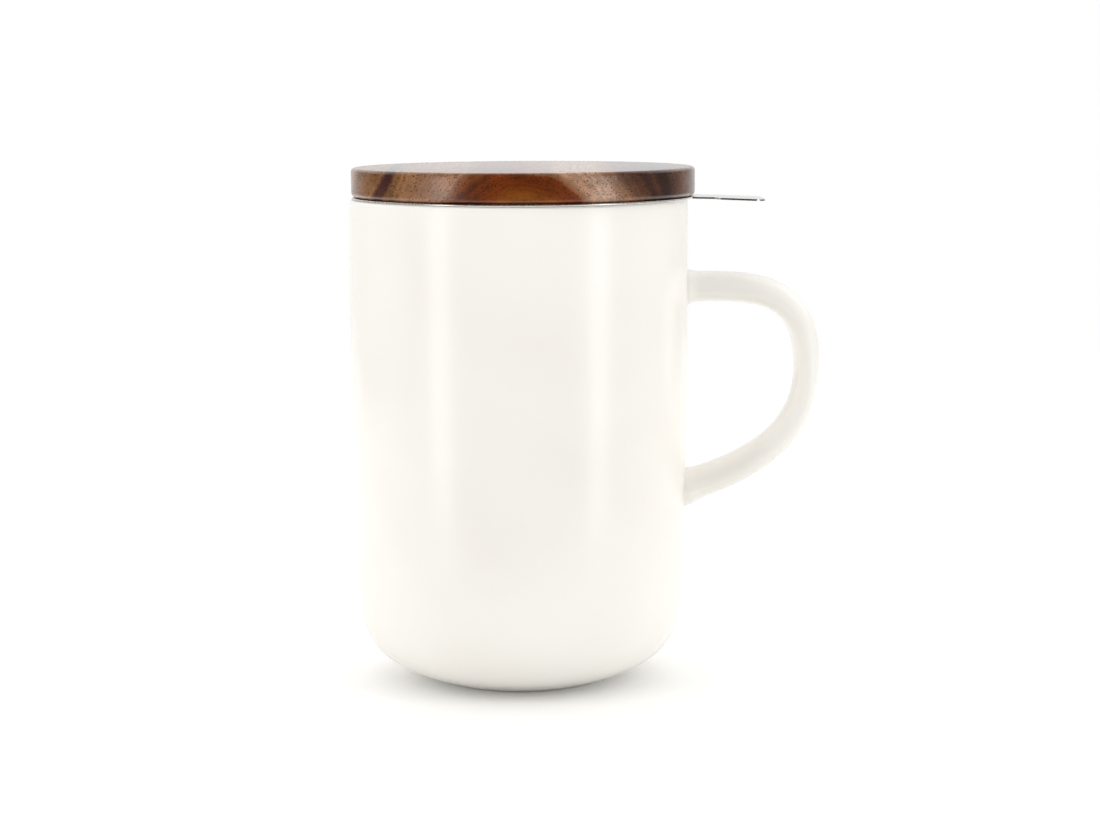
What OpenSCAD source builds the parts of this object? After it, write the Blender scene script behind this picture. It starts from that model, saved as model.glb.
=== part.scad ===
// Lidded tea mug with a strainer basket: a glazed stoneware mug, a steel infuser that
// hangs from the rim with a pull tab over the handle, and a turned wooden lid.
// Millimetres, +Z up. The origin is on the mug's axis, at the table. The handle is on +X.

/* [Mug] */
// Outer diameter at the rim
mouth_d = 85.3; // [78:0.1:94]
// Height of the rim above the table
mug_h = 122.6; // [110:0.2:136]
// How far the wall draws in on each side between the rim and the belly
wall_draw = 1.15; // [0:0.05:4]
// How far the wall swells between the rim and the belly, as a barrel does
wall_swell = 0.5; // [0:0.1:1.5]
// Height at which the wall starts to turn under
belly_z = 30.3; // [26:0.1:36]
// Thickness of the wall at the rim
wall_t = 4; // [3.2:0.1:5]
// Thickness of the floor
floor_t = 4.2; // [3.6:0.1:8]
// Outer diameter of the ring that the mug stands on
foot_d = 40; // [36:0.2:48]
// Width of the ring that the mug stands on
foot_w = 3.6; // [2:0.1:6]
// Depth of the hollow inside the foot ring
foot_hollow = 1.8; // [1:0.1:3]
// Radius of the rounded rim edges
rim_r = 0.8; // [0.6:0.1:1.5]

/* [Handle] */
// Distance from the rim down to the middle of the upper root
handle_drop = 22.6; // [18:0.2:30]
// Height between the middles of the two roots
handle_span = 51.6; // [46:0.2:56]
// How far the middle of the bow stands out from the rim
handle_reach = 30.4; // [26:0.2:36]
// Height of the widest point of the bow, measured down from the upper root
bow_drop = 19.9; // [16:0.1:24]
// Thickness at the upper root
handle_top_t = 7.7; // [6:0.1:10]
// Thickness at the bow
handle_bow_t = 6.4; // [5:0.1:9]
// Thickness at the lower root
handle_low_t = 8; // [6:0.1:10]
// Width across the handle
handle_w = 14; // [11:0.5:18]

/* [Infuser] */
// How far the infuser and its lid lie off the mug's axis, towards the handle
infuser_x = 1.2; // [0:0.1:1.5]
// How far the flange that lies on the rim stands out past it
flange_lap = 0.5; // [0:0.1:1]
// Thickness of the pressed flange and tab
sheet_t = 0.5; // [0.4:0.05:0.8]
// Clearance between the collar and the inside of the mug, with both on one axis
collar_gap = 3; // [2:0.1:4]
// Height of the collar below the rim
collar_h = 11; // [9:0.5:14]
// Inside radius of the bend between the flange and the collar
bend_r = 1; // [0.5:0.1:1]
// Depth of the basket below the rim
basket_h = 80; // [60:1:90]
// Thickness of the perforated sheet
strainer_t = 0.4; // [0.3:0.05:0.6]
// How far the perforated wall laps into the collar and over the floor's lip
lap_h = 4; // [3:0.5:5]
// Diameter of one perforation
hole_d = 1.8; // [1.2:0.1:2.4]
// Distance between the middles of neighbouring perforations
hole_pitch = 5; // [4:0.1:8]
// Plain border left round the perforations
plain_border = 3; // [2:0.5:6]

/* [Tab] */
// Width of the neck at the flange's edge
neck_root_w = 17; // [14:0.5:20]
// Width of the neck at the plate
neck_w = 13.4; // [10:0.2:15]
// Length of the neck from the flange's edge to the plate
neck_l = 5.4; // [4:0.2:10]
// Width of the plate
plate_w = 18; // [16:0.5:24]
// Length of the plate, outwards from the mug
plate_l = 12; // [10:0.2:16]
// Radius of the plate's outer corners
plate_r = 3.2; // [2:0.1:4]
// Slope of the tab below level, in degrees
tab_droop = 2.4; // [0:0.2:6]

/* [Lid] */
// How far the lid stands out past the flange
lid_lap = 0.1; // [0:0.1:2]
// Thickness of the lid
lid_t = 7.4; // [6:0.1:12]
// Radius of the upper edge
lid_top_r = 1; // [0.5:0.1:2.5]
// Radius of the lower edge
lid_low_r = 1.4; // [0.5:0.1:2]
// Depth of the turned plug under the lid
plug_h = 5.5; // [5:0.1:6]
// Clearance between the plug and the collar
plug_gap = 2; // [1.5:0.1:3]
// Height of the seal's body, and of the groove that holds it
seal_h = 3; // [2.4:0.1:3.2]
// Depth of the groove in the plug
groove_t = 1.5; // [1:0.1:2]
// Thickness of one sealing fin
fin_t = 0.7; // [0.5:0.1:0.9]
// Clearance between the fins and the collar
fin_gap = 0.2; // [0.1:0.05:0.3]

/* [Hidden] */
$fn = 96;

glaze = "#F3EDE1";
steel = "#C6C9CB";
acacia = "#6E4128";
silicone = "#E9E4DA";

// Mug
mouth_r = mouth_d / 2;
belly_r = mouth_r - wall_draw;
foot_r = foot_d / 2;
bore_r = mouth_r - wall_t;
belly_in_r = belly_r - wall_t;
floor_z = foot_hollow + floor_t;
rim_z = mug_h - rim_r;  // where the wall ends and the rounded rim starts
wall_steps = 6;
corner_drop = 21.3;  // how far the corner's curve keeps the wall's direction
corner_run = 20.7;   // how far it keeps the underside's direction
under_slope = 18.4;  // rise of the underside from the foot, in degrees
inner_drop = 23;     // how far the inner corner keeps the wall's direction
inner_run = 14;      // how far it keeps the floor's direction

// Handle: the middle line is two curves that meet upright at the bow
root_depth = 4;      // the roots start this far behind the middle line's ends, inside the wall
root_x = mouth_r - 2;
bow_x = mouth_r + handle_reach;
top_z = mug_h - handle_drop;
low_z = top_z - handle_span;
bow_z = top_z - bow_drop;
low_slope = 15.4;    // rise of the lower root, in degrees
top_run = 17;
bow_rise = 21.8;
bow_fall = 7.6;
low_run = 33.1;
top_curve = [[root_x, top_z], [root_x + top_run, top_z], [bow_x, bow_z + bow_rise], [bow_x, bow_z]];
low_curve = [
    [bow_x, bow_z], [bow_x, bow_z - bow_fall],
    [root_x, low_z] + low_run * [cos(low_slope), sin(low_slope)], [root_x, low_z]
];
top_rings = 24;
low_rings = 28;
ring_sides = 32;
flare = 0.7;         // how much the handle swells where it is luted to the wall
top_flare_l = 3;     // length of the swelling at each root
low_flare_l = 5;
squareness = 0.86;   // below 1, the oval section has fuller corners

// Infuser
flange_r = mouth_r + flange_lap;
flange_z = mug_h + sheet_t;
collar_r = bore_r - collar_gap;
collar_in_r = collar_r - sheet_t;
strainer_r = collar_in_r;
strainer_in_r = strainer_r - strainer_t;
basket_z = mug_h - basket_h;
knuckle_r = 1.5;     // outer radius of the rounded edge between the floor and its lip
wall_z0 = basket_z + knuckle_r;
wall_z1 = mug_h - collar_h + lap_h;
row_step = hole_pitch * sqrt(3) / 2;
field_z0 = wall_z0 + lap_h + plain_border;
field_z1 = mug_h - collar_h - plain_border;
rows = floor((field_z1 - field_z0 - hole_d) / row_step) + 1;
columns = floor(2 * PI * strainer_r / hole_pitch);
floor_rings = floor((strainer_in_r - knuckle_r - plain_border) / row_step);

// Tab, measured outwards from the line where it leaves the flange
tab_root = 1;        // the tab starts this far inside the flange's edge
tab_x = flange_r - tab_root;
plate_x0 = tab_root + neck_l;
plate_x1 = plate_x0 + plate_l;
nook_r = 1;          // radius where the neck runs into the plate
shoulder_r = 1.2;    // radius of the plate's corners beside the neck

// Lid
lid_r = flange_r + lid_lap;
plug_r = collar_in_r - plug_gap;
plug_z = flange_z - plug_h;
plug_edge = 0.8;     // radius of the plug's lower edge
plug_land = 1;       // plain band of the plug below the groove
seal_z = plug_z + plug_land;
groove_r = plug_r - groove_t;
fin_r = collar_in_r - fin_gap;

// Points along an arc about c, from angle a0 to angle a1
function arc(c, r, a0, a1, n = 8) =
    [for (i = [0 : n]) let (a = a0 + (a1 - a0) * i / n) c + r * [cos(a), sin(a)]];

// Point and direction on a cubic curve with four control points
function curve_point(p, t) =
    pow(1 - t, 3) * p[0] + 3 * pow(1 - t, 2) * t * p[1] + 3 * (1 - t) * t * t * p[2] + pow(t, 3) * p[3];
function curve_slope(p, t) =
    pow(1 - t, 2) * (p[1] - p[0]) + 2 * (1 - t) * t * (p[2] - p[1]) + t * t * (p[3] - p[2]);
function curve(p, n) = [for (i = [0 : n]) curve_point(p, i / n)];
function unit(v) = v / norm(v);

// The wall outside, from the belly (0) to the rim (1), is a gentle barrel
function barrel(t) = [
    belly_r + wall_draw * t + 4 * wall_swell * t * (1 - t),
    belly_z + (rim_z - belly_z) * t
];

// The mug's outline in runs: the corner, the wall and the rim outside, then the same inside
down_wall = unit([-wall_draw - 4 * wall_swell, belly_z - rim_z]);
outer_corner = curve([
    [foot_r, 0], [foot_r, 0] + corner_run * [cos(under_slope), sin(under_slope)],
    [belly_r, belly_z] + corner_drop * down_wall, [belly_r, belly_z]
], 20);
outer_wall = [for (i = [1 : wall_steps - 1]) barrel(i / wall_steps)];
outer_rim = arc([mouth_r - rim_r, rim_z], rim_r, 0, 90);
inner_rim = arc([bore_r + rim_r, rim_z], rim_r, 90, 180);
inner_wall = [for (i = [wall_steps - 1 : -1 : 1]) barrel(i / wall_steps) - [wall_t, 0]];
inner_corner = curve([
    [belly_in_r, belly_z], [belly_in_r, belly_z] + inner_drop * down_wall,
    [foot_r - foot_w + inner_run, floor_z], [foot_r - foot_w, floor_z]
], 16);

// Everything inside the mug's outer surface, which the handle is cut to
module mug_form() {
    rotate_extrude()
        polygon(concat([[0, 0]], outer_corner, outer_wall, outer_rim, [[0, mug_h]]));
}

// The mug is one casting. It is drawn as a wall and a base that meet level at the belly.
module mug_wall() {
    color(glaze)
        rotate_extrude()
            polygon(concat(
                [[belly_in_r, belly_z], [belly_r, belly_z]],
                outer_wall, outer_rim, inner_rim, inner_wall
            ));
}

module mug_base() {
    hollow_r = foot_r - foot_w;
    color(glaze)
        rotate_extrude()
            polygon(concat(
                outer_corner,
                inner_corner,
                [[0, floor_z], [0, foot_hollow]],
                arc([hollow_r - foot_hollow, 0], foot_hollow, 90, 0)
            ));
}

// One oval ring of the handle, square to the middle line at point p, with thickness t
function handle_ring(p, d, t, flare_l) =
    let (
        swell = flare * pow(min(1, max(0, 1 - (p[0] - mouth_r) / flare_l)), 2),
        side = [-d[1], d[0]],
        a = t / 2 + swell,
        b = handle_w / 2 + swell
    )
    [for (i = [0 : ring_sides - 1])
        let (
            c = cos(360 * i / ring_sides),
            s = sin(360 * i / ring_sides),
            u = a * sign(c) * pow(abs(c), squareness),
            v = b * sign(s) * pow(abs(s), squareness)
        )
        [p[0] + side[0] * u, v, p[1] + side[1] * u]];

// Thickness along each curve: it stays full near the upper root and thin after the bow
function top_thickness(t) = handle_top_t + (handle_bow_t - handle_top_t) * t * t;
function low_thickness(t) = handle_bow_t + (handle_low_t - handle_bow_t) * t * t;

function top_ring(t) =
    handle_ring(curve_point(top_curve, t), unit(curve_slope(top_curve, t)), top_thickness(t), top_flare_l);
function low_ring(t) =
    handle_ring(curve_point(low_curve, t), unit(curve_slope(low_curve, t)), low_thickness(t), low_flare_l);

// The rings lie closer together towards the roots, where the handle swells
function handle_rings() =
    let (
        start = unit(curve_slope(top_curve, 0)),
        end = unit(curve_slope(low_curve, 1))
    )
    concat(
        [handle_ring(top_curve[0] - root_depth * start, start, handle_top_t, top_flare_l)],
        [for (i = [0 : top_rings]) top_ring(pow(i / top_rings, 1.5))],
        [for (i = [1 : low_rings]) low_ring(1 - pow(1 - i / low_rings, 1.5))],
        [handle_ring(low_curve[3] + root_depth * end, end, handle_low_t, low_flare_l)]
    );

// A closed skin over rings of equal count
module skin(rings) {
    n = len(rings[0]);
    last = (len(rings) - 1) * n;
    polyhedron(
        points = [for (ring = rings) each ring],
        faces = concat(
            [[for (j = [0 : n - 1]) j]],
            [for (k = [0 : len(rings) - 2], j = [0 : n - 1])
                let (here = k * n, next = (j + 1) % n)
                [here + j, here + n + j, here + n + next, here + next]],
            [[for (j = [n - 1 : -1 : 0]) last + j]]
        ),
        convexity = 4
    );
}

module mug_handle() {
    color(glaze)
        difference() {
            skin(handle_rings());
            mug_form();
        }
}

// One side of the tab's outline: a neck that widens into a plate with round corners
function tab_outline(s) = [
    for (p = concat(
        [[0, neck_root_w / 2], [tab_root, neck_root_w / 2]],
        arc([plate_x0 - nook_r, neck_w / 2 + nook_r], nook_r, 270, 360),
        arc([plate_x0 + shoulder_r, plate_w / 2 - shoulder_r], shoulder_r, 180, 90),
        arc([plate_x1 - plate_r, plate_w / 2 - plate_r], plate_r, 90, 0)
    )) [p[0], s * p[1]]
];

module tab() {
    half = tab_outline(1);
    other = tab_outline(-1);
    translate([tab_x, 0, flange_z])
        rotate([0, tab_droop, 0])
            translate([0, 0, -sheet_t])
                linear_extrude(height = sheet_t)
                    polygon(concat(half, [for (i = [len(other) - 1 : -1 : 0]) other[i]]));
}

module infuser_flange() {
    color(steel)
        translate([infuser_x, 0, 0])
            union() {
                rotate_extrude()
                    polygon(concat(
                        arc([flange_r - sheet_t / 2, mug_h + sheet_t / 2], sheet_t / 2, -90, 90, 6),
                        arc([collar_r + bend_r, mug_h - bend_r], bend_r + sheet_t, 90, 180),
                        [[collar_in_r, mug_h - collar_h], [collar_r, mug_h - collar_h]],
                        arc([collar_r + bend_r, mug_h - bend_r], bend_r, 180, 90)
                    ));
                tab();
            }
}

module strainer_wall() {
    color(steel)
        translate([infuser_x, 0, 0])
            difference() {
                rotate_extrude()
                    translate([strainer_in_r, wall_z0])
                        square([strainer_t, wall_z1 - wall_z0]);
                for (row = [0 : rows - 1], i = [0 : columns - 1])
                    rotate([0, 0, 360 * (i + (row % 2) / 2) / columns])
                        translate([strainer_r - strainer_t / 2, 0, field_z0 + hole_d / 2 + row * row_step])
                            rotate([0, 90, 0])
                                cylinder(h = 4 * strainer_t, d = hole_d, center = true);
            }
}

module strainer_floor() {
    lip_z = wall_z0 + lap_h;
    color(steel)
        translate([infuser_x, 0, 0])
            difference() {
                rotate_extrude()
                    polygon(concat(
                        [[0, basket_z]],
                        arc([strainer_in_r - knuckle_r, basket_z + knuckle_r], knuckle_r, -90, 0),
                        [[strainer_in_r, lip_z], [strainer_in_r - strainer_t, lip_z]],
                        arc([strainer_in_r - knuckle_r, basket_z + knuckle_r], knuckle_r - strainer_t, 0, -90),
                        [[0, basket_z + strainer_t]]
                    ));
                for (ring = [0 : floor_rings], i = [0 : max(0, 6 * ring - 1)])
                    rotate([0, 0, 360 * i / max(1, 6 * ring)])
                        translate([ring * row_step, 0, basket_z - strainer_t])
                            cylinder(h = 3 * strainer_t, d = hole_d);
            }
}

module lid_disc() {
    color(acacia)
        translate([infuser_x, 0, 0])
            rotate_extrude()
                polygon(concat(
                    [[0, plug_z]],
                    arc([plug_r - plug_edge, plug_z + plug_edge], plug_edge, -90, 0),
                    [[plug_r, seal_z], [groove_r, seal_z]],
                    [[groove_r, seal_z + seal_h], [plug_r, seal_z + seal_h], [plug_r, flange_z]],
                    arc([lid_r - lid_low_r, flange_z + lid_low_r], lid_low_r, -90, 0),
                    arc([lid_r - lid_top_r, flange_z + lid_t - lid_top_r], lid_top_r, 0, 90),
                    [[0, flange_z + lid_t]]
                ));
}

// A band that fills the groove, with two fins that reach for the collar
module lid_seal() {
    fin_step = seal_h - 2 * fin_t;
    color(silicone)
        translate([infuser_x, 0, 0])
            rotate_extrude()
                union() {
                    translate([groove_r, seal_z])
                        square([groove_t + fin_t, seal_h]);
                    for (z = [fin_t, fin_t + fin_step])
                        translate([groove_r, seal_z + z - fin_t / 2])
                            square([fin_r - fin_t / 2 - groove_r, fin_t]);
                    for (z = [fin_t, fin_t + fin_step])
                        translate([fin_r - fin_t / 2, seal_z + z])
                            circle(d = fin_t);
                }
}

mug_wall();
mug_base();
mug_handle();
infuser_flange();
strainer_wall();
strainer_floor();
lid_disc();
lid_seal();
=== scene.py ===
# Lidded tea mug with a strainer basket: glazed stoneware, satin steel, oiled acacia, silicone.
# Metres, +Z up. The mug's axis is Z. The handle and the pull tab are on +X.
import bpy
import math
from mathutils import Matrix, Vector


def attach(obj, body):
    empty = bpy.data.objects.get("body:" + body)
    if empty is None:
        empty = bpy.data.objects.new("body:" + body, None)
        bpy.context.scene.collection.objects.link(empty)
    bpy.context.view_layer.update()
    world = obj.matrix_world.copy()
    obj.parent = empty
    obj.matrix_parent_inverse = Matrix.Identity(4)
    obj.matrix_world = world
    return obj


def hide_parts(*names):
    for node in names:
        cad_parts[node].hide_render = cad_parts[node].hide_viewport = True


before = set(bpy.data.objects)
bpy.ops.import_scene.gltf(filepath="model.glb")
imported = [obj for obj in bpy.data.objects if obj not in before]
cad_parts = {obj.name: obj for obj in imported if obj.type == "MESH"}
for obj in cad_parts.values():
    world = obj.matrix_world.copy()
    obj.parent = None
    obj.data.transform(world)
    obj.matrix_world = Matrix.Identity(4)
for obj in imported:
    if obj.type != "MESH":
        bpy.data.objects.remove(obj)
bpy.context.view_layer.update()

mm = 0.001
near = 0.01 * mm     # how close a point has to lie to count as in its place
joined = 0.001 * mm  # points closer than this become one


def linear(hexColour):
    # sRGB hex to the linear values that the shaders take
    values = [int(hexColour[i:i + 2], 16) / 255 for i in (1, 3, 5)]
    return [v / 12.92 if v <= 0.04045 else ((v + 0.055) / 1.055) ** 2.4 for v in values] + [1]


def newMaterial(name):
    material = bpy.data.materials.new(name)
    material.use_nodes = True
    material.node_tree.nodes.clear()
    return material, material.node_tree


def addNode(tree, kind, settings=None, inputs=None, stops=None):
    # one node with its settings, its inputs (values, or sockets to link) and a ramp's colour stops
    node = tree.nodes.new(kind)
    for key, value in (settings or {}).items():
        setattr(node, key, value)
    for key, value in (inputs or {}).items():
        if isinstance(value, bpy.types.NodeSocket):
            tree.links.new(value, node.inputs[key])
        else:
            node.inputs[key].default_value = value
    if stops:
        elements = node.color_ramp.elements
        elements.remove(elements[-1])
        elements[0].position, elements[0].color = stops[0]
        for position, colour in stops[1:]:
            elements.new(position).color = colour
    return node


def arc(centre, radius, start, end, steps):
    # points on an arc in an outline's plane, in degrees
    turns = [math.radians(start + (end - start) * i / steps) for i in range(steps + 1)]
    return [(centre[0] + radius * math.cos(a), centre[1] + radius * math.sin(a)) for a in turns]


def cubic(a, b, c, d, steps):
    # points on a curve with two ends and two handles
    points = []
    for i in range(steps + 1):
        t = i / steps
        weights = ((1 - t) ** 3, 3 * (1 - t) ** 2 * t, 3 * (1 - t) * t * t, t ** 3)
        points.append(sum((w * Vector(p) for w, p in zip(weights, (a, b, c, d))), Vector(a) * 0))
    return points


def pickOnly(piece, mode="OBJECT"):
    bpy.ops.object.select_all(action="DESELECT")
    piece.select_set(True)
    bpy.context.view_layer.objects.active = piece
    bpy.ops.object.mode_set(mode=mode)


def pickPoints(piece, chosen, kind="VERT"):
    # in edit mode, selects what has all its points where chosen says
    bpy.ops.object.mode_set(mode="OBJECT")
    points = piece.data.vertices
    for v in points:
        v.select = chosen(v.co)
    for part in [*piece.data.edges, *piece.data.polygons]:
        part.select = all(points[i].select for i in part.vertices)
    bpy.ops.object.mode_set(mode="EDIT")
    bpy.ops.mesh.select_mode(type=kind)


def drawLine(name, points):
    # one point is drawn along the line, which is left picked in edit mode
    bpy.ops.object.select_all(action="DESELECT")
    bpy.ops.mesh.primitive_plane_add(size=mm)
    piece = bpy.context.active_object
    piece.name = name
    bpy.ops.object.mode_set(mode="EDIT")
    bpy.ops.mesh.select_mode(type="VERT")
    bpy.ops.mesh.select_all(action="SELECT")
    bpy.ops.mesh.merge(type="CENTER")
    before = Vector(points[0])
    bpy.ops.transform.translate(value=before)
    for point in points[1:]:
        bpy.ops.mesh.extrude_region_move(TRANSFORM_OT_translate={"value": Vector(point) - before})
        before = Vector(point)
    bpy.ops.mesh.select_all(action="SELECT")
    bpy.ops.mesh.remove_doubles(threshold=joined)
    return piece


def turnOnLathe(name, outline, steps, axis=0):
    # an outline of (radius, height) is spun about an upright axis that stands at this X
    piece = drawLine(name, [(axis + r, 0, z) for r, z in outline])
    bpy.ops.mesh.spin(steps=steps, angle=2 * math.pi, center=(axis, 0, 0), axis=(0, 0, 1))
    bpy.ops.mesh.select_all(action="SELECT")
    bpy.ops.mesh.remove_doubles(threshold=2 * joined)   # the last turn meets the first less exactly
    bpy.ops.mesh.normals_make_consistent(inside=False)
    bpy.ops.object.mode_set(mode="OBJECT")
    return piece


def handIn(piece, body, material, slot, *nodes, smoothBelow=40):
    # shades, dresses and places a finished piece
    pickOnly(piece)
    bpy.ops.object.shade_smooth_by_angle(angle=math.radians(smoothBelow))
    piece.data.materials.clear()
    piece.data.materials.append(material)
    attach(piece, body)
    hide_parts(*nodes)


camera = {
    "distance": 0.650,   # from the mug's axis
    "height": 0.1538,
    "tilt": 7.51,        # down, in degrees
    "pan": 0.680,        # to the right
    "roll": -0.28,
    "lens": 84.14,
    "sensor": 36,        # mm wide
    "nearest": 10 * mm,  # what it can still see
}


def placeCamera():
    tilt, pan, roll = (math.radians(camera[key]) for key in ("tilt", "pan", "roll"))
    level = Vector((math.sin(pan), math.cos(pan), 0))
    right = Vector((math.cos(pan), -math.sin(pan), 0))
    forward = level * math.cos(tilt) - Vector((0, 0, math.sin(tilt)))
    up = level * math.sin(tilt) + Vector((0, 0, math.cos(tilt)))
    sideways = right * math.cos(roll) + up * math.sin(roll)
    upright = up * math.cos(roll) - right * math.sin(roll)
    lens = bpy.data.cameras.new("camera")
    lens.lens = camera["lens"]
    lens.sensor_width = camera["sensor"]
    lens.clip_start = camera["nearest"]
    view = bpy.data.objects.new("camera", lens)
    turn = Matrix((sideways, upright, -forward)).transposed().to_4x4()
    view.matrix_world = Matrix.Translation((0, -camera["distance"], camera["height"])) @ turn
    bpy.context.scene.collection.objects.link(view)
    bpy.context.scene.camera = view


placeCamera()
print("camera placed")

glaze = {
    "cream": "#F6F3ED",
    "pooled": "#F4F0E9",          # where the glaze lies thicker
    "clay": "#D9CDB8",            # bare stoneware under the foot ring
    "bareUpTo": (0.25 * mm, 0.4 * mm),   # where the glaze starts above the foot's ground face
    "roughness": 0.24,
    "clayRoughness": 0.75,
    "poolSize": 35 * mm,          # between the faint clouds
    "poolEdges": (0.35, 0.6),
    "swellSize": 16 * mm,         # between the low swells left by dipping
    "swellDepth": 0.12 * mm, "swellStrength": 0.5,
    "peelSize": 1.6 * mm,         # between the dimples of the orange peel
    "peelDepth": 0.006 * mm, "peelStrength": 0.3,
}


def glazedStoneware():
    # stoneware under a dipped, kiln-fired glaze: creamy and even, with a soft gloss that wavers
    # slightly, and a bare matt ring where the foot stands on the kiln shelf
    material, tree = newMaterial("glazedStoneware")
    place = addNode(tree, "ShaderNodeTexCoord")
    clouds = addNode(tree, "ShaderNodeTexNoise", None, {
        "Vector": place.outputs["Object"], "Scale": 1 / glaze["poolSize"], "Detail": 2})
    thick, thin = glaze["poolEdges"]
    tint = addNode(tree, "ShaderNodeValToRGB", None, {"Fac": clouds.outputs["Fac"]}, [
        (thick, linear(glaze["pooled"])), (thin, linear(glaze["cream"]))])
    axes = addNode(tree, "ShaderNodeSeparateXYZ", None, {"Vector": place.outputs["Object"]})
    bareZ, glazedZ = glaze["bareUpTo"]
    bare = addNode(tree, "ShaderNodeMapRange", None, {
        "Value": axes.outputs["Z"], "From Min": bareZ, "From Max": glazedZ, "To Min": 1, "To Max": 0})
    colour = addNode(tree, "ShaderNodeMix", {"data_type": "RGBA"}, {
        0: bare.outputs["Result"], 6: tint.outputs["Color"], 7: linear(glaze["clay"])})
    rough = addNode(tree, "ShaderNodeMapRange", None, {
        "Value": bare.outputs["Result"], "To Min": glaze["roughness"], "To Max": glaze["clayRoughness"]})
    swells = addNode(tree, "ShaderNodeTexNoise", None, {
        "Vector": place.outputs["Object"], "Scale": 1 / glaze["swellSize"], "Detail": 1})
    swellBump = addNode(tree, "ShaderNodeBump", None, {
        "Height": swells.outputs["Fac"], "Strength": glaze["swellStrength"],
        "Distance": glaze["swellDepth"]})
    peel = addNode(tree, "ShaderNodeTexNoise", None, {
        "Vector": place.outputs["Object"], "Scale": 1 / glaze["peelSize"], "Detail": 2})
    peelBump = addNode(tree, "ShaderNodeBump", None, {
        "Height": peel.outputs["Fac"], "Strength": glaze["peelStrength"], "Distance": glaze["peelDepth"],
        "Normal": swellBump.outputs["Normal"]})
    surface = addNode(tree, "ShaderNodeBsdfPrincipled", None, {
        "Base Color": colour.outputs[2], "Roughness": rough.outputs["Result"], "IOR": 1.5,
        "Normal": peelBump.outputs["Normal"]})
    addNode(tree, "ShaderNodeOutputMaterial", None, {"Surface": surface.outputs["BSDF"]})
    return material


stoneware = glazedStoneware()
print("glaze mixed")

mug = {
    "mouthRadius": 42.65 * mm, "height": 122.6 * mm, "rimRadius": 0.8 * mm, "wall": 4 * mm,
    "bellyRadius": 41.5 * mm, "bellyHeight": 30.3 * mm,
    "swell": 0.49 * mm,  # of the wall between belly and rim, which makes it a gentle barrel
    "footRadius": 20 * mm, "footWidth": 3.6 * mm, "footHollow": 1.8 * mm, "floor": 4.2 * mm,
    "underSlope": 18.4, "cornerRun": 20.7 * mm, "cornerDrop": 21.3 * mm,
    "innerRun": 14 * mm, "innerDrop": 23 * mm,
    "steps": 192, "wallSteps": 16, "outerSteps": 40, "innerSteps": 28, "footSteps": 6, "rimSteps": 8,
}


def makeMug():
    m = mug
    mouth, height, rim, wall = (m[key] for key in ("mouthRadius", "height", "rimRadius", "wall"))
    belly, low, foot = m["bellyRadius"], m["bellyHeight"], m["footRadius"]
    floor, ring = m["footHollow"] + m["floor"], foot - m["footWidth"]
    draw, rise = mouth - belly, height - rim - low
    barrel = []
    for i in range(m["wallSteps"] + 1):
        t = i / m["wallSteps"]
        barrel.append((belly + draw * t + 4 * m["swell"] * t * (1 - t), low + rise * t))
    down = Vector((-draw - 4 * m["swell"], -rise)).normalized()
    slope = math.radians(m["underSlope"])
    under = Vector((foot, 0)) + m["cornerRun"] * Vector((math.cos(slope), math.sin(slope)))
    inside = Vector((belly - wall, low))
    outline = [(0, m["footHollow"])]
    outline += arc((ring - m["footHollow"], 0), m["footHollow"], 90, 0, m["footSteps"])
    corner = Vector((belly, low)) + m["cornerDrop"] * down
    outline += cubic((foot, 0), under, corner, (belly, low), m["outerSteps"])
    outline += barrel + arc((mouth - rim, height - rim), rim, 0, 90, m["rimSteps"])
    outline += arc((mouth - wall + rim, height - rim), rim, 90, 180, m["rimSteps"])
    outline += [(r - wall, z) for r, z in reversed(barrel)]
    corner = inside + m["innerDrop"] * down
    outline += cubic(inside, corner, (ring + m["innerRun"], floor), (ring, floor), m["innerSteps"])
    outline.append((0, floor))
    body = turnOnLathe("mugBody", outline, m["steps"])
    handIn(body, "mug", stoneware, "glaze", "mug_wall", "mug_base")


makeMug()
print("mug thrown")

handle = {
    "rootX": 40.65 * mm, "topZ": 100 * mm, "lowZ": 48.4 * mm, "bowX": 73.03 * mm, "bowZ": 80.1 * mm,
    "topRun": 17 * mm, "bowRise": 21.8 * mm, "bowFall": 7.6 * mm, "lowRun": 33.1 * mm, "lowSlope": 15.4,
    "topThickness": 7.7 * mm, "bowThickness": 6.4 * mm, "lowThickness": 8 * mm, "width": 14 * mm,
    "flare": 0.7 * mm,   # where it is luted to the wall, over these lengths
    "flareLengths": (3 * mm, 5 * mm),
    "fullness": 0.551,   # bevel profile of the oval section, 0.5 would be a plain ellipse
    "corner": 12,        # sides in each quarter of the section
    "rings": 96,
    "fine": 200,         # steps along each curve in which its length is measured
    "pathSteps": 64,
}


def handleStations(curves):
    # along the middle line: distance, half width and half thickness
    h = handle
    thickness = (h["topThickness"], h["bowThickness"], h["lowThickness"])
    stations, distance, before = [], 0, curves[0][0]
    for index, curve in enumerate(curves):
        for i, point in enumerate(cubic(*curve, h["fine"])):
            distance += (point - before).length
            before = point
            share = (i / h["fine"]) ** 2
            thick = thickness[index] + (thickness[index + 1] - thickness[index]) * share
            rooted = 1 - (point.x - mug["mouthRadius"]) / h["flareLengths"][index]
            swell = h["flare"] * min(1, max(0, rooted)) ** 2
            stations.append((distance, h["width"] / 2 + swell, thick / 2 + swell))
    return stations


def layPath(curves):
    # the middle line as a curve object with a point at each root and one at the bow
    bpy.ops.object.select_all(action="DESELECT")
    bpy.ops.curve.primitive_bezier_curve_add()
    path = bpy.context.active_object
    path.data.resolution_u = handle["pathSteps"]
    points = path.data.splines[0].bezier_points
    points.add(1)
    top, low = curves
    knots = [
        (top[0], 2 * top[0] - top[1], top[1]),
        (top[3], top[2], low[1]),
        (low[3], low[2], 2 * low[3] - low[2])]
    for point, (place, left, right) in zip(points, knots):
        point.handle_left_type = point.handle_right_type = "FREE"
        point.co, point.handle_left, point.handle_right = place, left, right
    return path


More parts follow.
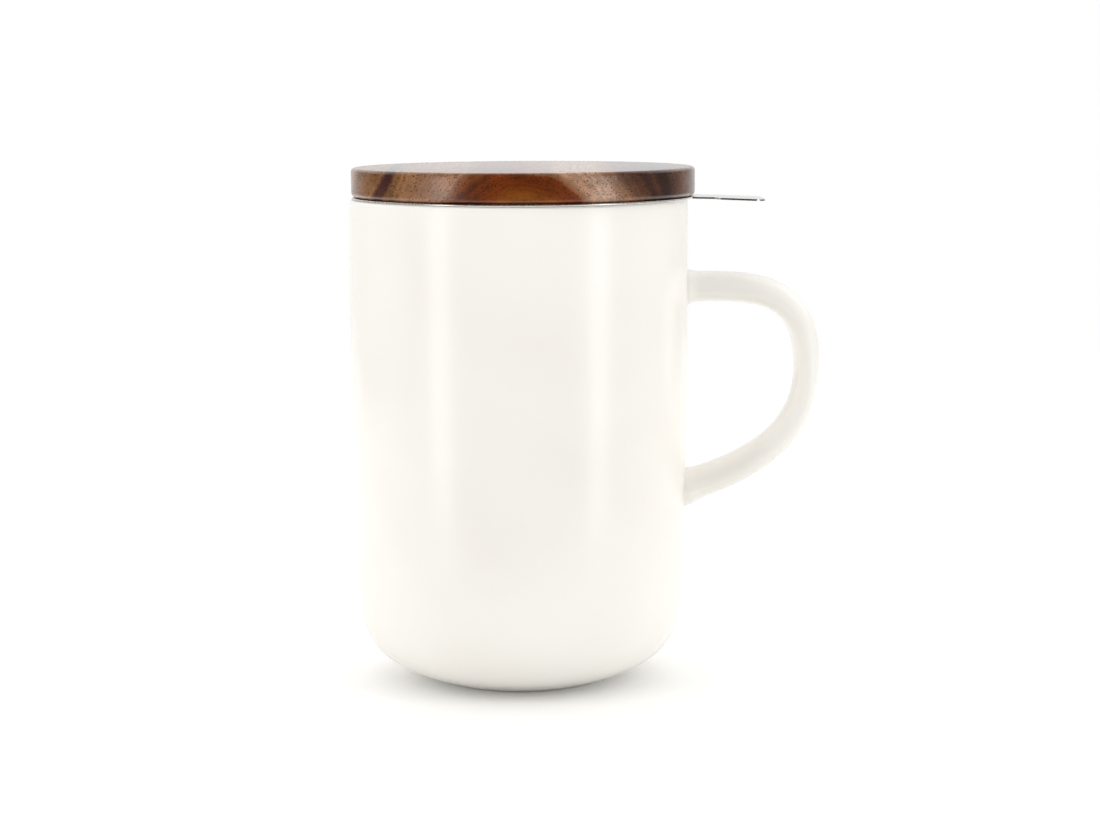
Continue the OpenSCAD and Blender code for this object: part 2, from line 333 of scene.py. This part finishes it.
def makeHandle():
    h = handle
    slope = math.radians(h["lowSlope"])
    root, low = Vector((h["rootX"], 0, h["topZ"])), Vector((h["rootX"], 0, h["lowZ"]))
    bow = Vector((h["bowX"], 0, h["bowZ"]))
    curves = (
        (root, root + Vector((h["topRun"], 0, 0)), bow + Vector((0, 0, h["bowRise"])), bow),
        (bow, bow - Vector((0, 0, h["bowFall"])),
         low + h["lowRun"] * Vector((math.cos(slope), 0, math.sin(slope))), low))
    stations = handleStations(curves)
    length = stations[-1][0]
    path = layPath(curves)

    # a straight bar of oval rings, closer together at the roots
    sizes = []
    for i in range(h["rings"] + 1):
        wanted = length * (0.5 - 0.5 * math.cos(math.pi * i / h["rings"]))
        sizes.append((wanted, *min(stations, key=lambda s: abs(s[0] - wanted))[1:]))
    bpy.ops.object.select_all(action="DESELECT")
    bpy.ops.mesh.primitive_plane_add(size=2)
    piece = bpy.context.active_object
    piece.name = "mugHandle"
    bpy.ops.object.mode_set(mode="EDIT")
    bpy.ops.mesh.select_all(action="SELECT")
    bpy.ops.mesh.bevel(offset=1, segments=h["corner"], profile=h["fullness"], affect="VERTICES")
    bpy.ops.mesh.select_all(action="SELECT")
    bpy.ops.mesh.remove_doubles(threshold=0.001)
    bpy.ops.transform.rotate(value=math.radians(90), orient_axis="Y", center_override=(0, 0, 0))
    x0, wide0, thick0 = sizes[0]
    bpy.ops.transform.resize(value=(1, wide0, thick0), center_override=(0, 0, 0))
    for x, wide, thick in sizes[1:]:
        bpy.ops.mesh.extrude_region_move(TRANSFORM_OT_translate={"value": (x - x0, 0, 0)})
        bpy.ops.transform.resize(value=(1, wide / wide0, thick / thick0), center_override=(x, 0, 0))
        x0, wide0, thick0 = x, wide, thick
    bpy.ops.mesh.select_all(action="SELECT")
    bpy.ops.mesh.normals_make_consistent(inside=False)
    bpy.ops.object.mode_set(mode="OBJECT")

    # then bent along the middle line
    bend = piece.modifiers.new("bow", "CURVE")
    bend.object, bend.deform_axis = path, "POS_X"
    pickOnly(piece)
    bpy.ops.object.modifier_apply(modifier="bow")
    bpy.data.objects.remove(path)
    handIn(piece, "mug", stoneware, "glaze", "mug_handle", smoothBelow=50)


makeHandle()
print("handle luted on")

steel = {
    "metal": "#DEDEDC",
    "roughness": (0.19, 0.31),    # in the polishing lines and between them
    "lineSpacing": 0.3 * mm,      # coarser than life, so that the lines show
    "lineStretch": 0.05,          # a share that makes them long
    "lineEdges": (0.3, 0.7),
    "lineDepth": 0.01 * mm, "lineStrength": 0.08,
}


def satinSteel():
    # 18/8 stainless sheet, pressed and satin polished: bright, with fine lines that soften what it mirrors
    material, tree = newMaterial("satinStainlessSteel")
    place = addNode(tree, "ShaderNodeTexCoord")
    stretch = addNode(tree, "ShaderNodeMapping", None, {
        "Vector": place.outputs["Object"], "Scale": (1, steel["lineStretch"], 1)})
    lines = addNode(tree, "ShaderNodeTexNoise", None, {
        "Vector": stretch.outputs["Vector"], "Scale": 1 / steel["lineSpacing"], "Detail": 3})
    smooth, dull = steel["roughness"]
    low, high = steel["lineEdges"]
    rough = addNode(tree, "ShaderNodeMapRange", None, {
        "Value": lines.outputs["Fac"], "From Min": low, "From Max": high, "To Min": smooth, "To Max": dull})
    bump = addNode(tree, "ShaderNodeBump", None, {
        "Height": lines.outputs["Fac"], "Strength": steel["lineStrength"], "Distance": steel["lineDepth"]})
    surface = addNode(tree, "ShaderNodeBsdfPrincipled", None, {
        "Base Color": linear(steel["metal"]), "Metallic": 1, "Roughness": rough.outputs["Result"],
        "Normal": bump.outputs["Normal"]})
    addNode(tree, "ShaderNodeOutputMaterial", None, {"Surface": surface.outputs["BSDF"]})
    return material


stainless = satinSteel()

infuser = {
    "axis": 1.2 * mm,    # it lies this far off the mug's axis, and the lid is centred on it
    "sheet": 0.5 * mm, "flangeRadius": 43.15 * mm, "collarRadius": 35.65 * mm, "collarHeight": 11 * mm,
    "bend": 1 * mm, "steps": 192, "bendSteps": 10,
    "burr": 0.2 * mm, "tabBurr": 0.06 * mm,   # how far the sheared edges are broken
    "tabRoot": 1 * mm, "neckRootWidth": 17 * mm, "neckWidth": 13.4 * mm, "neckLength": 5.4 * mm,
    "plateWidth": 18 * mm, "plateLength": 12 * mm, "nook": 1 * mm, "shoulder": 1.2 * mm,
    "corner": 3.2 * mm, "tabSteps": 8, "cornerSteps": 12,
    "droop": 2.4,             # degrees
}


def makeFlange():
    # a sheared edge, the flat ring, the bend down into the collar, and back along the underside
    n = infuser
    edge, sheet, burr, bend = n["flangeRadius"], n["sheet"], n["burr"], n["bend"]
    rim, collar = mug["height"], n["collarRadius"]
    low, steps = rim - n["collarHeight"], n["bendSteps"]
    outline = [
        (edge - burr, rim), (edge, rim + burr), (edge, rim + sheet - burr), (edge - burr, rim + sheet)]
    outline += arc((collar + bend, rim - bend), bend + sheet, 90, 180, steps)
    outline += [(collar - sheet, low), (collar, low)]
    outline += arc((collar + bend, rim - bend), bend, 180, 90, steps)
    outline.append(outline[0])
    return turnOnLathe("infuserFlange", outline, n["steps"], axis=n["axis"])


def makeTab():
    # the outline is drawn round, filled, given its thickness and broken at the edges
    n = infuser
    x0 = n["tabRoot"] + n["neckLength"]
    x1 = x0 + n["plateLength"]
    neck, side, nook, shoulder, corner = (
        n["neckWidth"] / 2, n["plateWidth"] / 2, n["nook"], n["shoulder"], n["corner"])
    half = [(0, n["neckRootWidth"] / 2), (n["tabRoot"], n["neckRootWidth"] / 2)]
    half += arc((x0 - nook, neck + nook), nook, 270, 360, n["tabSteps"])
    half += arc((x0 + shoulder, side - shoulder), shoulder, 180, 90, n["tabSteps"])
    half += arc((x1 - corner, side - corner), corner, 90, 0, n["cornerSteps"])
    around = [(x, y, 0) for x, y in half] + [(x, -y, 0) for x, y in reversed(half)]
    tab = drawLine("pullTab", around + around[:1])
    bpy.ops.mesh.edge_face_add()
    bpy.ops.mesh.extrude_region_move(TRANSFORM_OT_translate={"value": (0, 0, -n["sheet"])})
    for z in (0, -n["sheet"]):
        pickPoints(tab, lambda c: abs(c.z - z) < near, "EDGE")
        bpy.ops.mesh.bevel(offset=n["tabBurr"], segments=1, affect="EDGES")
    bpy.ops.mesh.select_all(action="SELECT")
    bpy.ops.mesh.normals_make_consistent(inside=False)
    droop = math.radians(n["droop"])
    bpy.ops.transform.rotate(value=-droop, orient_axis="Y", center_override=(0, 0, 0))
    bpy.ops.transform.translate(value=(
        n["axis"] + n["flangeRadius"] - n["tabRoot"], 0, mug["height"] + n["sheet"]))
    bpy.ops.object.mode_set(mode="OBJECT")
    return tab


def makeInfuser():
    flange, tab = makeFlange(), makeTab()
    weld = flange.modifiers.new("weld", "BOOLEAN")
    weld.operation, weld.object, weld.solver = "UNION", tab, "EXACT"
    pickOnly(flange)
    bpy.ops.object.modifier_apply(modifier="weld")
    bpy.data.objects.remove(tab)
    handIn(flange, "infuser", stainless, "steel", "infuser_flange", smoothBelow=30)
    for node in ("strainer_wall", "strainer_floor"):
        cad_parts[node].material_slots[0].material = stainless


makeInfuser()
print("infuser pressed")

wood = {
    "tones": {
        # paintedSheen is a painted highlight: a paler, greyer brown set in the rings where the right lamp's
        # gloss falls on the lid's edge, adding to the rendered sheen
        "paintedSheen": "#A98268", "pale": "#8A5F3C", "amber": "#7C4410", "tan": "#7F532B", "maroon": "#481E12",
        "dun": "#8E6346", "russet": "#70380F", "ember": "#662B04", "umber": "#65402A", "bark": "#52301C",
        "dusk": "#331A12"},
    "rings": (   # growth rings, mm from the pith, which is minus on the side away from the handle
        (-46, "pale"), (-42, "tan"), (-38.2, "tan"), (-37.4, "maroon"), (-35.8, "maroon"), (-35, "tan"),
        (-31, "pale"), (-27, "dun"), (-22.5, "dun"), (-20.5, "russet"), (-18, "ember"), (-14.5, "ember"),
        # the pale band from 21.2 to 24.6 mm is that painted highlight
        (-11.5, "amber"), (11.5, "amber"), (14.5, "ember"), (17.6, "ember"), (18.6, "dun"), (21.2, "paintedSheen"),
        (24.6, "paintedSheen"), (26.5, "dun"), (29, "umber"), (31.5, "bark"), (33.6, "dusk"), (34.4, "bark"),
        (35.6, "dusk"), (38, "dusk"), (39.5, "bark"), (42, "umber")),
    "reach": 46 * mm,             # the outermost ring
    "pith": 14 * mm,              # the rings' middle lies this far below the lid's
    "drift": 2 * mm,              # how far the rings wander
    "driftSize": 9 * mm,          # between their bends
    "driftStretch": 0.3,          # a stretch is a share that makes a pattern long in the grain
    "spread": (0.35, 0.65),       # the part of a noise that its shade runs over
    "fineRing": 1.3 * mm,         # between the rings inside the broad ones
    "fineShade": (0.82, 1.15),    # a shade is how far a pattern darkens and lightens the tone
    "fibre": 0.35 * mm,           # across a bundle of fibres
    "fibreStretch": 0.05, "fibreSpread": (0.3, 0.7),
    "fibreShade": (0.65, 1.3),
    "mottle": 5 * mm,             # between the lighter and darker patches
    "mottleShade": (0.75, 1.25),
    "pore": 0.31 * mm,            # across an open pore
    "poreSpacing": 0.7 * mm,
    "poreStretch": 0.07,
    "poreDepth": 0.03 * mm, "poreStrength": 0.4,
    "dense": (13 * mm, 17 * mm),  # inside this ring the oil fills the pores
    "poreShade": (0.75, 0.1),     # a filled pore and an open one
    "film": (0.5, 0.88),          # weight of the oil film in a pore and beside it
    "filmRoughness": 0.24,
    "roughness": 0.32,
}


def oiledAcacia():
    # acacia, turned, sanded and oiled until a thin film stands on it: streaked brown heartwood with dark
    # growth rings, open pores that dot the end grain and streak the long grain, and a soft sheen
    material, tree = newMaterial("oiledAcacia")
    place = addNode(tree, "ShaderNodeTexCoord")
    middle = mug["height"] + infuser["sheet"] + lid["thickness"] / 2
    centred = addNode(tree, "ShaderNodeMapping", None, {
        "Vector": place.outputs["Object"], "Location": (-infuser["axis"], 0, -middle)})
    axes = addNode(tree, "ShaderNodeSeparateXYZ", None, {"Vector": centred.outputs["Vector"]})

    # growth rings: tubes along Y round the pith, bent by noise that is long in Y
    along = addNode(tree, "ShaderNodeMapping", None, {
        "Vector": centred.outputs["Vector"], "Scale": (1, wood["driftStretch"], 1)})
    drift = addNode(tree, "ShaderNodeTexNoise", None, {
        "Vector": along.outputs["Vector"], "Scale": 1 / wood["driftSize"], "Detail": 2.5, "Roughness": 0.5})
    bend = addNode(tree, "ShaderNodeMapRange", None, {
        "Value": drift.outputs["Fac"], "To Min": -wood["drift"], "To Max": wood["drift"]})
    section = addNode(tree, "ShaderNodeMapping", None, {
        "Vector": centred.outputs["Vector"], "Location": (0, 0, wood["pith"]), "Scale": (1, 0, 1)})
    radius = addNode(tree, "ShaderNodeVectorMath", {"operation": "LENGTH"}, {0: section.outputs["Vector"]})
    ring = addNode(tree, "ShaderNodeMath", {"operation": "ADD"}, {
        0: radius.outputs["Value"], 1: bend.outputs["Result"]})
    side = addNode(tree, "ShaderNodeMath", {"operation": "SIGN"}, {0: axes.outputs["X"]})
    across = addNode(tree, "ShaderNodeMath", {"operation": "MULTIPLY"}, {
        0: ring.outputs[0], 1: side.outputs[0]})
    reach = addNode(tree, "ShaderNodeMapRange", None, {
        "Value": across.outputs[0], "From Min": -wood["reach"], "From Max": wood["reach"]})
    tone = addNode(tree, "ShaderNodeValToRGB", None, {"Fac": reach.outputs["Result"]}, [
        ((distance * mm / wood["reach"] + 1) / 2, linear(wood["tones"][name]))
        for distance, name in wood["rings"]])

    # fine rings inside the broad ones, fibres along Y, and patches where the oil went in deeper
    fineRings = addNode(tree, "ShaderNodeTexNoise", {"noise_dimensions": "1D"}, {
        "W": ring.outputs[0], "Scale": 1 / wood["fineRing"], "Detail": 3, "Roughness": 0.6})
    low, high = wood["spread"]
    dark, light = wood["fineShade"]
    ringShade = addNode(tree, "ShaderNodeMapRange", None, {
        "Value": fineRings.outputs["Fac"], "From Min": low, "From Max": high,
        "To Min": dark, "To Max": light})
    strands = addNode(tree, "ShaderNodeMapping", None, {
        "Vector": centred.outputs["Vector"], "Scale": (1, wood["fibreStretch"], 1)})
    fibres = addNode(tree, "ShaderNodeTexNoise", None, {
        "Vector": strands.outputs["Vector"], "Scale": 1 / wood["fibre"], "Detail": 4, "Roughness": 0.7})
    low, high = wood["fibreSpread"]
    dark, light = wood["fibreShade"]
    fibreShade = addNode(tree, "ShaderNodeMapRange", None, {
        "Value": fibres.outputs["Fac"], "From Min": low, "From Max": high, "To Min": dark, "To Max": light})
    mottle = addNode(tree, "ShaderNodeTexNoise", None, {
        "Vector": centred.outputs["Vector"], "Scale": 1 / wood["mottle"], "Detail": 4, "Roughness": 0.6})
    low, high = wood["spread"]
    dark, light = wood["mottleShade"]
    mottleShade = addNode(tree, "ShaderNodeMapRange", None, {
        "Value": mottle.outputs["Fac"], "From Min": low, "From Max": high, "To Min": dark, "To Max": light})

    # open pores: tubes along Y, one in each cell, with a soft edge
    tubes = addNode(tree, "ShaderNodeMapping", None, {
        "Vector": centred.outputs["Vector"], "Scale": (1, wood["poreStretch"], 1)})
    cells = addNode(tree, "ShaderNodeTexVoronoi", None, {
        "Vector": tubes.outputs["Vector"], "Scale": 1 / wood["poreSpacing"]})
    bore = 0.5 * wood["pore"] / wood["poreSpacing"]
    pores = addNode(tree, "ShaderNodeMapRange", None, {
        "Value": cells.outputs["Distance"], "From Min": 0.7 * bore, "From Max": 1.3 * bore})
    low, high = wood["dense"]
    full, empty = wood["poreShade"]
    filled = addNode(tree, "ShaderNodeMapRange", None, {
        "Value": ring.outputs[0], "From Min": low, "From Max": high, "To Min": full, "To Max": empty})
    poreShade = addNode(tree, "ShaderNodeMapRange", None, {
        "Value": pores.outputs["Result"], "To Min": filled.outputs["Result"], "To Max": 1})
    shade = ringShade.outputs["Result"]
    for other in (fibreShade, mottleShade, poreShade):
        shade = addNode(tree, "ShaderNodeMath", {"operation": "MULTIPLY"}, {
            0: shade, 1: other.outputs["Result"]}).outputs[0]
    colour = addNode(tree, "ShaderNodeVectorMath", {"operation": "SCALE"}, {
        0: tone.outputs["Color"], "Scale": shade})

    bump = addNode(tree, "ShaderNodeBump", None, {
        "Height": pores.outputs["Result"], "Strength": wood["poreStrength"], "Distance": wood["poreDepth"]})
    inPore, beside = wood["film"]
    film = addNode(tree, "ShaderNodeMapRange", None, {
        "Value": pores.outputs["Result"], "To Min": inPore, "To Max": beside})
    surface = addNode(tree, "ShaderNodeBsdfPrincipled", None, {
        "Base Color": colour.outputs["Vector"], "Roughness": wood["roughness"],
        "IOR": 1.47, "Specular IOR Level": 0.2, "Normal": bump.outputs["Normal"],
        "Coat Weight": film.outputs["Result"], "Coat Roughness": wood["filmRoughness"],
        "Coat IOR": 1.48, "Coat Normal": bump.outputs["Normal"]})
    addNode(tree, "ShaderNodeOutputMaterial", None, {"Surface": surface.outputs["BSDF"]})
    return material


silicone = {
    "milky": "#E9E5DB",
    "roughness": (0.42, 0.58),    # along the flow marks
    "skinSize": 0.6 * mm,         # between them
    "skinDepth": 0.02 * mm, "skinStrength": 0.1,
    "clouded": 0.3,               # share of the light that goes in
    "reach": (1.2 * mm, 1.1 * mm, 1.0 * mm),   # and how far, in red, green and blue
}


def mouldedSilicone():
    # moulded silicone rubber: milky, slightly see-through and matt, with faint flow marks
    material, tree = newMaterial("mouldedSilicone")
    place = addNode(tree, "ShaderNodeTexCoord")
    skin = addNode(tree, "ShaderNodeTexNoise", None, {
        "Vector": place.outputs["Object"], "Scale": 1 / silicone["skinSize"], "Detail": 3})
    smooth, dull = silicone["roughness"]
    rough = addNode(tree, "ShaderNodeMapRange", None, {
        "Value": skin.outputs["Fac"], "To Min": smooth, "To Max": dull})
    bump = addNode(tree, "ShaderNodeBump", None, {
        "Height": skin.outputs["Fac"], "Strength": silicone["skinStrength"],
        "Distance": silicone["skinDepth"]})
    surface = addNode(tree, "ShaderNodeBsdfPrincipled", None, {
        "Base Color": linear(silicone["milky"]), "Roughness": rough.outputs["Result"], "IOR": 1.41,
        "Subsurface Weight": silicone["clouded"], "Subsurface Radius": silicone["reach"],
        "Subsurface Scale": 1.0, "Normal": bump.outputs["Normal"]})
    addNode(tree, "ShaderNodeOutputMaterial", None, {"Surface": surface.outputs["BSDF"]})
    return material


lid = {
    "radius": 43.25 * mm, "thickness": 7.4 * mm, "topEdge": 1.0 * mm, "lowEdge": 1.4 * mm,
    "plugGap": 2 * mm, "plugDepth": 5.5 * mm, "plugEdge": 0.8 * mm,
    "grooveDepth": 1.5 * mm, "sealHeight": 3 * mm, "sealLand": 1 * mm,
    "fin": 0.7 * mm, "finGap": 0.2 * mm,
    "steps": 256, "edgeSteps": 8, "plugSteps": 6, "finSteps": 6,
}


def makeLid():
    n = lid
    seat = mug["height"] + infuser["sheet"]
    collar = infuser["collarRadius"] - infuser["sheet"]
    plug, plugZ, top = collar - n["plugGap"], seat - n["plugDepth"], seat + n["thickness"]
    groove, low = plug - n["grooveDepth"], plugZ + n["sealLand"]
    high = low + n["sealHeight"]
    outline = [(0, plugZ)]
    outline += arc((plug - n["plugEdge"], plugZ + n["plugEdge"]), n["plugEdge"], -90, 0, n["plugSteps"])
    outline += [(plug, low), (groove, low), (groove, high), (plug, high), (plug, seat)]
    radius, lowEdge, topEdge, steps = n["radius"], n["lowEdge"], n["topEdge"], n["edgeSteps"]
    outline += arc((radius - lowEdge, seat + lowEdge), lowEdge, -90, 0, steps)
    outline += arc((radius - topEdge, top - topEdge), topEdge, 0, 90, steps)
    outline += [(0, top)]
    disc = turnOnLathe("lidDisc", outline, n["steps"], axis=infuser["axis"])
    handIn(disc, "lid", oiledAcacia(), "acacia", "lid_disc", smoothBelow=35)

    # the seal fills the groove, and its two fins reach for the collar
    fin, tip = n["fin"], collar - n["finGap"] - n["fin"] / 2
    body = plug + fin
    outline = [(groove, low), (body, low), (body, low + fin / 2)]
    for z in (low + fin, high - fin):
        nose = arc((tip, z), fin / 2, -90, 90, n["finSteps"])
        outline += [(body, z - fin / 2), *nose, (body, z + fin / 2)]
    outline += [(body, high), (groove, high), (groove, low)]
    seal = turnOnLathe("lidSeal", outline, n["steps"], axis=infuser["axis"])
    handIn(seal, "lid", mouldedSilicone(), "silicone", "lid_seal", smoothBelow=35)


makeLid()
print("lid turned")

studio = {
    "floorSize": 0.9, "floorFront": 0.16,   # it ends this far before the mug's axis
    "floor": "#F4F4F2", "floorRoughness": 0.7,
    "glow": 0.12,            # makes up for what the floor loses to white
    "wall": 1.0,             # strength of the white walls round the object
    "room": 0.13,            # share of it that the dim room behind the camera sends back
    "roomEdge": (0.78, 0.9),
    # what gloss shows of the walls, from the back (0) to the front (1)
    "mirrored": ((0, 1.0), (0.1, 0.5), (0.2, 0.15), (0.8, 0.12), (0.95, 0.05)),
    # and of a white ceiling that ends over the object
    "ceilingFront": (-0.25, -0.02), "ceilingEdge": (0.15, 0.4),
    "boxStrength": 3.0, "boxWidth": 0.28, "boxAway": 1.1, "boxAngle": 54,
    "boxHeights": (-1.2, 0.2, 1.2),   # gloss shows a box up to its middle height only
    "topStrength": 0.66, "topSize": 1.0, "topY": 0.5, "topZ": 1.4,
}


def addLight(name, place, target, strength, width, height):
    # strength is the brightness of the light's face, where 1 is white
    data = bpy.data.lights.new(name, "AREA")
    data.shape, data.size, data.size_y = "RECTANGLE", width, height
    data.energy = strength * math.pi * width * height
    light = bpy.data.objects.new(name, data)
    light.location = place
    light.rotation_euler = (target - place).to_track_quat("-Z", "Y").to_euler()
    light.visible_camera = False
    bpy.context.scene.collection.objects.link(light)
    return light


def seenRay(tree):
    # 1 for rays from the camera, in a mirror or through a clear piece, and 0 for light that falls on things
    rays = addNode(tree, "ShaderNodeLightPath")
    mirrored = addNode(tree, "ShaderNodeMath", {"operation": "MAXIMUM"}, {
        0: rays.outputs["Is Glossy Ray"], 1: rays.outputs["Is Transmission Ray"]})
    return addNode(tree, "ShaderNodeMath", {"operation": "MAXIMUM"}, {
        0: rays.outputs["Is Camera Ray"], 1: mirrored.outputs[0]}).outputs[0]


def layFloor():
    size = studio["floorSize"]
    bpy.ops.object.select_all(action="DESELECT")
    bpy.ops.mesh.primitive_plane_add(size=size, location=(0, size / 2 - studio["floorFront"], 0))
    floor = bpy.context.active_object
    floor.name = "studioFloor"
    material, tree = newMaterial("whitePaper")
    glow = addNode(tree, "ShaderNodeMath", {"operation": "MULTIPLY"}, {0: seenRay(tree), 1: studio["glow"]})
    surface = addNode(tree, "ShaderNodeBsdfPrincipled", None, {
        "Base Color": linear(studio["floor"]), "Roughness": studio["floorRoughness"], "IOR": 1.49,
        "Emission Color": (1, 1, 1, 1), "Emission Strength": glow.outputs[0]})
    addNode(tree, "ShaderNodeOutputMaterial", None, {"Surface": surface.outputs["BSDF"]})
    floor.data.materials.append(material)


def paintWalls():
    # white for the camera, white walls with a dim room in front for the light, and its own view for gloss
    world = bpy.data.worlds.new("studio")
    bpy.context.scene.world = world
    world.use_nodes = True
    tree = world.node_tree
    tree.nodes.clear()
    place = addNode(tree, "ShaderNodeTexCoord")
    facing = addNode(tree, "ShaderNodeVectorMath", {"operation": "DOT_PRODUCT"}, {
        0: place.outputs["Generated"], 1: (0, -1, 0)})
    start, end = studio["roomEdge"]
    shed = addNode(tree, "ShaderNodeMapRange", {"interpolation_type": "SMOOTHSTEP"}, {
        "Value": facing.outputs["Value"], "From Min": start, "From Max": end,
        "To Min": studio["wall"], "To Max": studio["wall"] * studio["room"]})
    depth = addNode(tree, "ShaderNodeMapRange", None, {"Value": facing.outputs["Value"], "From Min": -1})
    mirrored = addNode(tree, "ShaderNodeValToRGB", None, {"Fac": depth.outputs["Result"]}, [
        (position, (grey, grey, grey, 1)) for position, grey in studio["mirrored"]])
    axes = addNode(tree, "ShaderNodeSeparateXYZ", None, {"Vector": place.outputs["Generated"]})
    start, end = studio["ceilingEdge"]
    above = addNode(tree, "ShaderNodeMapRange", {"interpolation_type": "SMOOTHSTEP"}, {
        "Value": axes.outputs["Z"], "From Min": start, "From Max": end})
    start, end = studio["ceilingFront"]
    ceiling = addNode(tree, "ShaderNodeMapRange", {"interpolation_type": "SMOOTHSTEP"}, {
        "Value": facing.outputs["Value"], "From Min": start, "From Max": end,
        "To Min": above.outputs["Result"], "To Max": 0})
    gloss = addNode(tree, "ShaderNodeMath", {"operation": "MAXIMUM"}, {
        0: mirrored.outputs["Color"], 1: ceiling.outputs["Result"]})
    around = addNode(tree, "ShaderNodeMix", {"data_type": "FLOAT"}, {
        0: seenRay(tree), 2: shed.outputs["Result"], 3: gloss.outputs[0]})
    rays = addNode(tree, "ShaderNodeLightPath")
    strength = addNode(tree, "ShaderNodeMix", {"data_type": "FLOAT"}, {
        0: rays.outputs["Is Camera Ray"], 2: around.outputs[0], 3: 1.0})
    air = addNode(tree, "ShaderNodeBackground", None, {
        "Color": (1, 1, 1, 1), "Strength": strength.outputs[0]})
    addNode(tree, "ShaderNodeOutputWorld", None, {"Surface": air.outputs["Background"]})


def hangLights():
    s = studio
    low, middle, high = s["boxHeights"]
    angle = math.radians(s["boxAngle"])
    for name, side in (("left", -1), ("right", 1)):
        place = Vector((side * math.sin(angle), -math.cos(angle), 0)) * s["boxAway"]
        for part, z0, z1 in (("Box", low, middle), ("Fill", middle, high)):
            place.z = (z0 + z1) / 2
            target = Vector((0, 0, place.z))
            light = addLight(name + part, place, target, s["boxStrength"], s["boxWidth"], z1 - z0)
            light.visible_glossy = part == "Box"
    place, target = Vector((0, s["topY"], s["topZ"])), Vector((0, s["topY"], 0))
    addLight("topBox", place, target, s["topStrength"], s["topSize"], s["topSize"])


layFloor()
paintWalls()
hangLights()
bpy.context.scene.view_settings.view_transform = "Standard"
print("studio lit")
